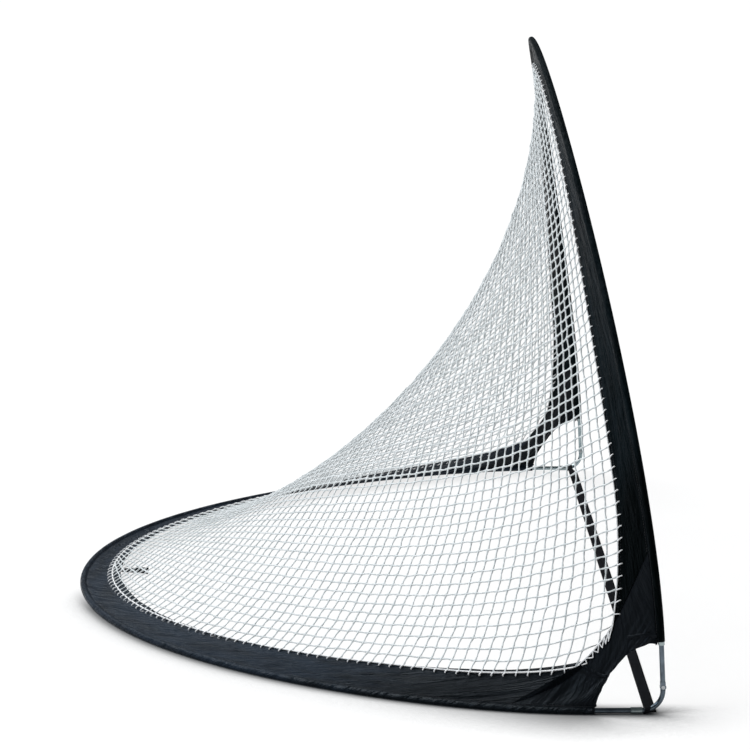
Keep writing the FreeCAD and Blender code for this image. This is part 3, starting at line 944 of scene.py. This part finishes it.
def settle(step, share, inside):
    """Each round moves every free knot along the surface towards the mean of its neighbours."""
    small = 0.002
    for _ in range(SETTLE_ROUNDS):
        knots = net_point(step, share)
        mean = (knots[:-2, 1:-1] + knots[2:, 1:-1] + knots[1:-1, :-2] + knots[1:-1, 2:]) / 4
        pull = mean - knots[1:-1, 1:-1]
        x = step[1:-1, 1:-1]
        s = share[1:-1, 1:-1]
        by_step = (net_point(x + small, s) - net_point(x - small, s)) / (2 * small)
        by_share = (net_point(x, s + small) - net_point(x, s - small)) / (2 * small)
        a = (by_step * by_step).sum(axis=2)
        b = (by_step * by_share).sum(axis=2)
        c = (by_share * by_share).sum(axis=2)
        p = (pull * by_step).sum(axis=2)
        q = (pull * by_share).sum(axis=2)
        size = np.maximum(a * c - b * b, 1e-9)
        step[1:-1, 1:-1] += np.where(inside, SETTLE_PART * (c * p - b * q) / size, 0)
        share[1:-1, 1:-1] += np.where(inside, SETTLE_PART * (a * q - b * p) / size, 0)
        np.clip(step, -1, 1, out=step)
        np.clip(share, 0, 1, out=share)
    return net_point(step, share)


knot_step, knot_share, inside = starting_knots()
knots = settle(knot_step, knot_share, inside)
steps = np.linalg.norm(np.diff(knots[1:-1, 1:-1], axis=0), axis=2)
print("mesh sides %.1f to %.1f mm, mean %.1f" % (steps.min() * 1e3, steps.max() * 1e3,
                                                 steps.mean() * 1e3))

# %% [markdown]
# Real twine isn't ruled with a pen: each knot sits a fraction of a millimetre off, and each side
# of a mesh bows a little. Knots are thicker than twine, so the radius swells there.

# %% Twine from knot to knot
TWINE_RADIUS = 0.00125
KNOT_RADIUS = 0.0021
KNOT_SLIP = 0.0006
TWINE_BOW = 0.0007


def knot_normals():
    down = np.gradient(knots, axis=0)
    over = np.gradient(knots, axis=1)
    cross = np.cross(down, over)
    return cross / np.maximum(np.linalg.norm(cross, axis=2, keepdims=True), 1e-12)


def loosened():
    pick = np.random.default_rng(21)
    shift = pick.normal(0, KNOT_SLIP, knots.shape)
    shift[0] = shift[-1] = shift[:, 0] = shift[:, -1] = 0
    return knots + shift


def twine_path(line, normal):
    """Knots and the middles between them, with a small bow each way in turn."""
    middle = (line[1:] + line[:-1]) / 2
    side = unit(np.cross(np.diff(line, axis=0), normal[:-1]))
    bow = TWINE_BOW * np.where(np.arange(len(middle)) % 2, 1.0, -1.0)[:, None]
    path = np.empty((2 * len(line) - 1, 3))
    path[0::2] = line
    path[1::2] = middle + side * bow
    radius = np.full(len(path), TWINE_RADIUS)
    radius[0::2] = KNOT_RADIUS
    guide = np.empty_like(path)
    guide[0::2] = normal
    guide[1::2] = normal[:-1]
    return path, radius, guide


knot_places = loosened()
knot_out = knot_normals()
last = NET_MESHES
twines = []
for i in range(1, last):
    first = 1 if i == last - 1 else 0
    stop = last if i == 1 else last + 1
    twines.append(twine_path(knot_places[i, first:stop], knot_out[i, first:stop]))
    twines.append(twine_path(knot_places[first:stop, i], knot_out[first:stop, i]))
net = threads("net_mesh", twines, 4, net_white)
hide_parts("net")
print("twine %.0f m" % sum(lengths_along(path)[-1] for path, _, _ in twines))

# %% [markdown]
# ## Border cords and lacing
# A white cord runs along each long edge of the net, and every mesh is tied round it and through
# the sleeve with a short loop. The loops are what shows as white ticks on the black cloth.

# %% Border cords
CORD_RADIUS = 0.0015


def border_cord(hoop):
    tau = net_tau(np.linspace(-1, 1, 320), 0 if hoop == "upright" else 1)
    path = membrane(tau, edge_distance(hoop, tau))
    print(hoop, "border cord %.2f m" % lengths_along(path)[-1])
    _, _, outward = directions(tau, edge_distance(hoop, tau))
    return path + outward * CORD_LIFT, CORD_RADIUS, outward


for hoop in ("upright", "ground"):
    cord = threads(hoop + "_border_cord", [border_cord(hoop)], 8, cord_white)
    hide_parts(hoop + "_net_cord")
    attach(cord, hoop + "_hoop")

# %% Lacing loops
LOOP_REACH = 0.0125
LOOP_INSIDE_CORD = 0.0024
LOOP_LIFT, LOOP_ROUND = 0.0010, 0.0030
LOOP_LEAN, CORNER_LEAN = 0.25, 0.75
LOOP_SLANT = 0.0012
CORNER_REACH = {"upright": 0.010, "ground": 0.002}
CORNER_REACH_ENDS = 0.45
LOOP_POINTS = 11


def lacing_loop(hoop, tau, slant):
    """A flat ring of twine round the border cord and through the band, a little askew."""
    sign = 1 if hoop == "upright" else -1
    turn = np.linspace(0, 2 * np.pi, LOOP_POINTS)
    taus = np.full(LOOP_POINTS, tau)
    near_corner = max(0.0, 1 - float(fold_in(tau)) / CORNER_REACH_ENDS)
    half = (LOOP_REACH + CORNER_REACH[hoop] * near_corner) / 2
    reach = -sign * (half * (1 - np.cos(turn)) - LOOP_INSIDE_CORD)
    down = (LOOP_LEAN + CORNER_LEAN * near_corner) * half * (1 - np.cos(turn))
    along_shift = slant * np.cos(turn) - down * (1 if tau < 1 else -1)
    distance = edge_distance(hoop, taus[:1])[0] + reach
    _, _, outward = directions(taus, distance)
    height = LOOP_LIFT + LOOP_ROUND * np.sin(turn)
    return (membrane(taus, distance) + outward * height[:, None]
            + rod_way(hoop, taus) * along_shift[:, None])


def build_lacing(hoop):
    share = 0 if hoop == "upright" else 1
    half = edge_steps(share, NET_MESHES - 2)
    places = net_tau(np.concatenate([half, -half[-2::-1]]), share)
    pick = np.random.default_rng(31)
    paths = []
    for tau in places[1:-1]:
        path = lacing_loop(hoop, tau, pick.uniform(-LOOP_SLANT, LOOP_SLANT))
        side = unit(np.cross(np.gradient(path, axis=0), path - path.mean(axis=0)))
        paths.append((path, TWINE_RADIUS, side))
    piece = threads(hoop + "_lacing", paths, 4, cord_white)
    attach(piece, hoop + "_hoop")


build_lacing("upright")
build_lacing("ground")

# %% [markdown]
# The net's corners are cut off short. A last piece of cord closes each cut, and a zigzag of
# twine ties that cord to the gusset's free edge. Its points step to and fro, and more points
# between them keep each thread of the zigzag straight and round.

# %% Corner lacing
ZIGZAG_POINTS = 13
ZIGZAG_RADIUS = 0.0011
ZIGZAG_LIFT = 0.0026


def corner_line(side, back, shares):
    """Points along the net's cut corner, or so far back from it over the gusset."""
    tau = net_tau(-1.0, shares) - back
    tau = tau if side == "left" else 2 - tau
    upper = edge_distance("upright", tau)
    lower = edge_distance("ground", tau)
    distance = upper + (lower - upper) * shares
    _, _, outward = directions(tau, distance)
    return membrane(tau, distance), outward


def corner_lacing(side):
    """The zigzag and the corner's cord, each a path, its radius and its guide."""
    turn = np.arange(ZIGZAG_POINTS)
    back = np.where(turn % 2, 0.013, -0.001)
    shares = np.linspace(-0.01, 1.01, ZIGZAG_POINTS) + np.where(turn % 2, 0.03, -0.02)
    corners, outward = corner_line(side, back, shares)
    path = corners + outward * ZIGZAG_LIFT
    steps = np.linspace(0, ZIGZAG_POINTS - 1, (ZIGZAG_POINTS - 1) * 4 + 1)
    fine = np.stack([np.interp(steps, turn, path[:, k]) for k in range(3)], axis=1)
    guide = np.stack([np.interp(steps, turn, outward[:, k]) for k in range(3)], axis=1)
    edge, edge_out = corner_line(side, 0.0, np.linspace(0, 1, 15))
    return [(fine, ZIGZAG_RADIUS, guide), (edge + edge_out * CORD_LIFT, CORD_RADIUS, edge_out)]


corner_laces = {}
for side in ("left", "right"):
    corner_laces[side] = threads("corner_lacing_" + side, corner_lacing(side), 6, cord_white)

# %% [markdown]
# ## Stitching
# Two rows of machine stitches hold each sleeve: one beside the rod, which makes the pocket, and
# one along the hem where the net is laced. Each stitch is a short thread with its ends sunk in
# the cloth.

# %% Rows of stitches
STITCH = 0.0032
STITCH_STEP = 0.0046
STITCH_RADIUS = 0.00033
STITCH_SUNK = 0.0006
ROWS = {"pocket": (0.045, LAYER_GAP + 0.0004), "hem": (0.89, LAYER_GAP + 0.0007)}


def stitch_row(hoop, row):
    """The rows lie at a share of the band's width. The hem's row ends at the gussets."""
    share, lifted = ROWS[row]
    tau, along = even_stations(hoop, SLEEVE_MOUTH[hoop], STITCH_STEP)
    places, normal, _ = band(hoop, tau, np.full(len(tau), share), along)
    way = unit(np.gradient(places, axis=0))
    top = places + normal * lifted
    paths = []
    for index in range(len(tau)):
        if row == "hem" and fold_in(tau[index]) <= BAND_START + 0.004:
            continue
        arc = np.array([-0.5, -0.25, 0.25, 0.5])[:, None] * STITCH * way[index]
        lift = np.array([-STITCH_SUNK, 0.0, 0.0, -STITCH_SUNK])[:, None] * normal[index]
        paths.append((top[index] + arc + lift, STITCH_RADIUS, np.tile(normal[index], (4, 1))))
    piece = threads(hoop + "_" + row + "_stitches", paths, 4, black_thread)
    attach(piece, hoop + "_hoop")


for hoop in HOOP_POLES:
    for row in ROWS:
        stitch_row(hoop, row)

# %% [markdown]
# ## Webbing
# A flat strap lies on the ground along the goal line and ties the two corners together. Each end
# is folded round the elbow's bend and sewn. Webbing is flat, so it is a grid of cloth with a
# little life in it: it rises and falls by a millimetre or two along its length.

# %% Goal line strap
STRAP_WIDTH = 0.020
STRAP_THICK = 0.0014
STRAP_END = 0.9065


def webbing(name, line, width_way, width, thickness):
    """A strip of webbing along a line, seven points wide."""
    places = np.linspace(-0.5, 0.5, 7)
    grid = line[:, None] + places[None, :, None] * width * width_way[:, None]
    run = np.broadcast_to(lengths_along(line)[:, None], grid.shape[:2])
    side = np.broadcast_to(np.linspace(0, width, grid.shape[1])[None], grid.shape[:2])
    piece = cloth(name, grid, thickness, black_webbing, np.stack([run, side], axis=2))
    return piece


strap_x = np.linspace(-STRAP_END, STRAP_END, 240)
strap_waves = waves(seed=17, count=5, longest=0.6, shortest=0.08, slant=0.0, spread=0.2)
strap_wave = wrinkle(strap_waves, strap_x, 0 * strap_x)
strap_line = np.stack([strap_x, 0.0008 * strap_wave,
                       0.0012 + 0.0006 * (1 + strap_wave) * np.cos(strap_x * 1.7) ** 2], axis=1)
strap_way = np.tile([0.0, 1.0, 0.0], (240, 1))
strap = webbing("ground_strap", strap_line, strap_way, STRAP_WIDTH, STRAP_THICK)
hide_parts("goal_line_strap")
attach(strap, "ground_hoop")
print("strap %.2f m" % lengths_along(strap_line)[-1])

# %% [markdown]
# The loop is drawn as a teardrop round the tube, seen from the end: a ring of points with its
# two tails brought together. The tube slopes up there, so the whole loop leans with it.

# %% Loops at the strap's ends
BEND_RADIUS = 0.035
LOOP_ANGLE = math.radians(13.0)
LOOP_RADIUS = 0.0056
LOOP_WIDTH = 0.0105
LOOP_THICK = 0.0011


def strap_loop(side):
    """Webbing from the strap, over the tube, round it and back under, like a teardrop."""
    centre = np.array([-0.915, -0.02 + BEND_RADIUS * (1 - math.sin(LOOP_ANGLE)),
                       0.0065 + BEND_RADIUS * (1 - math.cos(LOOP_ANGLE))])
    angle = np.radians(np.linspace(62, 262, 22))
    ring = np.stack([centre[0] + LOOP_RADIUS * np.cos(angle), 0 * angle,
                     centre[2] + LOOP_RADIUS * np.sin(angle)], axis=1)
    ends = np.array([[-0.880, 0, 0.0031], [-0.893, 0, 0.0034], [-0.903, 0, 0.0058]])
    back = np.array([[-0.909, 0, 0.0020]])
    outline = np.concatenate([ends, ring, back])
    place = lengths_along(outline)
    fine = np.linspace(0, place[-1], 60)
    line = np.stack([np.interp(fine, place, outline[:, k]) for k in range(3)], axis=1)
    line[:, 1] = centre[1] - math.tan(LOOP_ANGLE) * (line[:, 2] - centre[2])
    line[:, 1] += (0.0 - line[:, 1]) * np.clip((line[:, 0] + 0.909) / 0.02, 0, 1)
    way = np.tile([0.0, math.cos(LOOP_ANGLE), -math.sin(LOOP_ANGLE)], (60, 1))
    if side == "right":
        line = line * [-1, 1, 1]
    piece = webbing("strap_fold_" + side, line, way, LOOP_WIDTH, LOOP_THICK)
    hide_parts("strap_loop_" + side)
    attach(piece, "ground_hoop")


strap_loop("left")
strap_loop("right")

# %% [markdown]
# A short tab of webbing hangs from the rear tip. Its place and length are read from the CAD
# node that it replaces. It twists and sways a little, as a loose end does.

# %% Tab at the rear tip
TAB_WIDTH = 0.0195
TAB_THICK = 0.0013
TAB_TWIST = math.radians(26)


def tip_tab():
    box = np.array(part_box("tip_tab"))
    y = np.linspace(box[1][1], box[0][1], 50)
    z = np.linspace(box[1][2] - 0.0010, box[0][2] + 0.0012, 50)
    sway = 0.0012 * np.sin((y - y[0]) * 70)
    line = np.stack([0.0016 * np.sin((y - y[0]) * 28), y, np.maximum(z + sway, 0.0011)], axis=1)
    twist = TAB_TWIST * np.linspace(0, 1, 50) ** 1.5
    way = np.stack([np.cos(twist), 0 * twist, np.sin(twist)], axis=1)
    line[:, 2] += 0.0098 * np.sin(twist)
    piece = webbing("tip_webbing", line, way, TAB_WIDTH, TAB_THICK)
    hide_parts("tip_tab")
    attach(piece, "ground_hoop")


tip_tab()

# %% [markdown]
# ## Cloth that crosses the fold
# The upright hoop folds back about the pins in the corners. Net, gussets, corner lacing and the
# gussets' tapes join the two hoops. None of them is attached to a hoop's body: here each one only
# has its placement baked into its points.

# %% Bake net, gussets and corner lacing
def across_the_fold(piece, lean=45.0):
    """Bakes the piece's placement into its points."""
    lean = math.radians(lean)
    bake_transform(piece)


across_the_fold(net, lean=42.0)
for side in ("left", "right"):
    across_the_fold(gussets[side])
    across_the_fold(corner_laces[side])

for piece in gusset_trims:
    across_the_fold(piece)
print("net, gussets, corner lacing and", len(gusset_trims), "tapes bend with the fold")

# %% [markdown]
# ## Size of the cloth
# The strip for a sleeve is as wide as twice its widest band and the turn round the rod. A
# gusset is measured on its own grid of points.

def strip_width(widest):
    return 2 * widest + 2 * math.pi * POCKET_MIDDLE


print("sleeve strips %.3f x %.2f m and %.3f x %.2f m" % (strip_width(0.165), upright_run,
                                                         strip_width(0.190), ground_run))

# %% [markdown]
# ## Floor and light
# The photograph has a white floor that runs into a white background, with a soft shadow only
# outside the near side. So the floor glows by itself, and the glow is turned down where ambient
# occlusion finds the sleeve close above it. An outer floor goes on to the horizon. Only the
# camera sees that one, so it throws no light on the sleeves from below.

# %% Floor
SHADOW_REACH = 0.17
SHADOW_DEPTH = 10.0
SHADOW_STARTS = (0.93, 0.985)
SHADOW_SIDE = (-0.08, -0.30)
HOOP_HALF_WIDTH, HOOP_DEPTH = 0.915, 1.088
FLOOR_GLOW = 0.80
FLOOR_NEAR, FLOOR_SIDE, FLOOR_FAR = -1.7, 20.0, 90.0


def outside_near_side(finish):
    """1 on the floor just outside the ground hoop's left side, and 0 elsewhere."""
    place = stretched(finish, "object", (1 / HOOP_HALF_WIDTH, 1 / HOOP_DEPTH, 0))
    far = node(finish, "VectorMath", operation="LENGTH")
    join(finish, place, far.inputs[0])
    apart = node(finish, "SeparateXYZ")
    join(finish, place, apart.inputs["Vector"])
    both = node(finish, "Math", operation="MULTIPLY")
    masks = ((far.outputs["Value"], SHADOW_STARTS), (apart.outputs["X"], SHADOW_SIDE))
    for slot, (value, (none, full)) in enumerate(masks):
        mask = node(finish, "MapRange", interpolation_type="SMOOTHSTEP")
        mask.inputs["From Min"].default_value = none
        mask.inputs["From Max"].default_value = full
        join(finish, value, mask.inputs["Value"])
        join(finish, mask.outputs["Result"], both.inputs[slot])
    return both.outputs["Value"]


def build_floor():
    finish, shader = new_finish("studio_floor", (0.22, 0.22, 0.22), 0.9)
    tone = noise(finish, stretched(finish, "object", (1, 1, 1)), 3.0, 2)
    join(finish, colours(finish, tone, (0.21, 0.21, 0.21), (0.23, 0.23, 0.23)),
         shader.inputs["Base Color"])
    shader.inputs["Specular IOR Level"].default_value = 0.05
    shader.inputs["Emission Color"].default_value = (1, 1, 1, 1)
    open_sky = node(finish, "AmbientOcclusion", samples=16)
    open_sky.inputs["Distance"].default_value = SHADOW_REACH
    deepened = node(finish, "Math", operation="POWER")
    deepened.inputs[1].default_value = SHADOW_DEPTH
    join(finish, open_sky.outputs["AO"], deepened.inputs[0])
    shaded = node(finish, "Mix", data_type="FLOAT")
    join(finish, outside_near_side(finish), shaded.inputs["Factor"])
    shaded.inputs["A"].default_value = 1.0
    join(finish, deepened.outputs["Value"], shaded.inputs["B"])
    join(finish, between(finish, shaded.outputs["Result"], 0.0, FLOOR_GLOW),
         shader.inputs["Emission Strength"])
    y_edges = (-FLOOR_FAR, -FLOOR_SIDE, FLOOR_SIDE, FLOOR_FAR)
    points = np.array([(x, y, 0) for x in (-FLOOR_FAR, FLOOR_NEAR, FLOOR_FAR) for y in y_edges])
    inner = points[[5, 9, 10, 6]]
    around = [(i, i + 4, i + 5, i + 1) for i in (0, 1, 2, 4, 6)]
    floor = make_object("studio_floor", inner, [(0, 1, 2, 3)], finish)
    outer = make_object("studio_floor_outer", points, around, finish)
    for ray in ("diffuse", "glossy", "transmission", "shadow"):
        setattr(outer, "visible_" + ray, False)


build_floor()

# %% [markdown]
# The light is a studio's: a dim sky all round, a ceiling made of a sun with a very wide disc,
# which gives soft shadows at any distance, and one cool lamp at the picture's upper left, past
# the rear tip, which gives the sleeves their sheen.

# %% Sky, ceiling and lamp
world = bpy.data.worlds.new("studio")
world.use_nodes = True
sky = world.node_tree.nodes["Background"]
sky.inputs["Color"].default_value = (0.93, 0.97, 1.0, 1)
sky.inputs["Strength"].default_value = 0.16
scene.world = world


def hang(light, place, shines):
    """Puts a light at a place, shining along a direction."""
    holder = bpy.data.objects.new(light.name, light)
    holder.location = place
    holder.rotation_euler = shines.to_track_quat("-Z", "Y").to_euler()
    scene.collection.objects.link(holder)


ceiling = bpy.data.lights.new("ceiling", "SUN")
ceiling.angle = math.radians(52)
ceiling.energy = 3.4
hang(ceiling, (0, 0, 0), Vector((-0.35, -0.60, -1.0)))

key_lamp = bpy.data.lights.new("key_lamp", "AREA")
key_lamp.shape = "DISK"
key_lamp.size = 1.3
key_lamp.energy = 34
key_lamp.color = (0.78, 0.89, 1.0)
key_lamp_at = Vector((-2.0, 3.4, 2.2))
hang(key_lamp, key_lamp_at, Vector((-0.6, 0.6, 0.0)) - key_lamp_at)
scene.view_settings.view_transform = "Standard"
print("sky, ceiling and", key_lamp.name, "at", tuple(key_lamp_at))
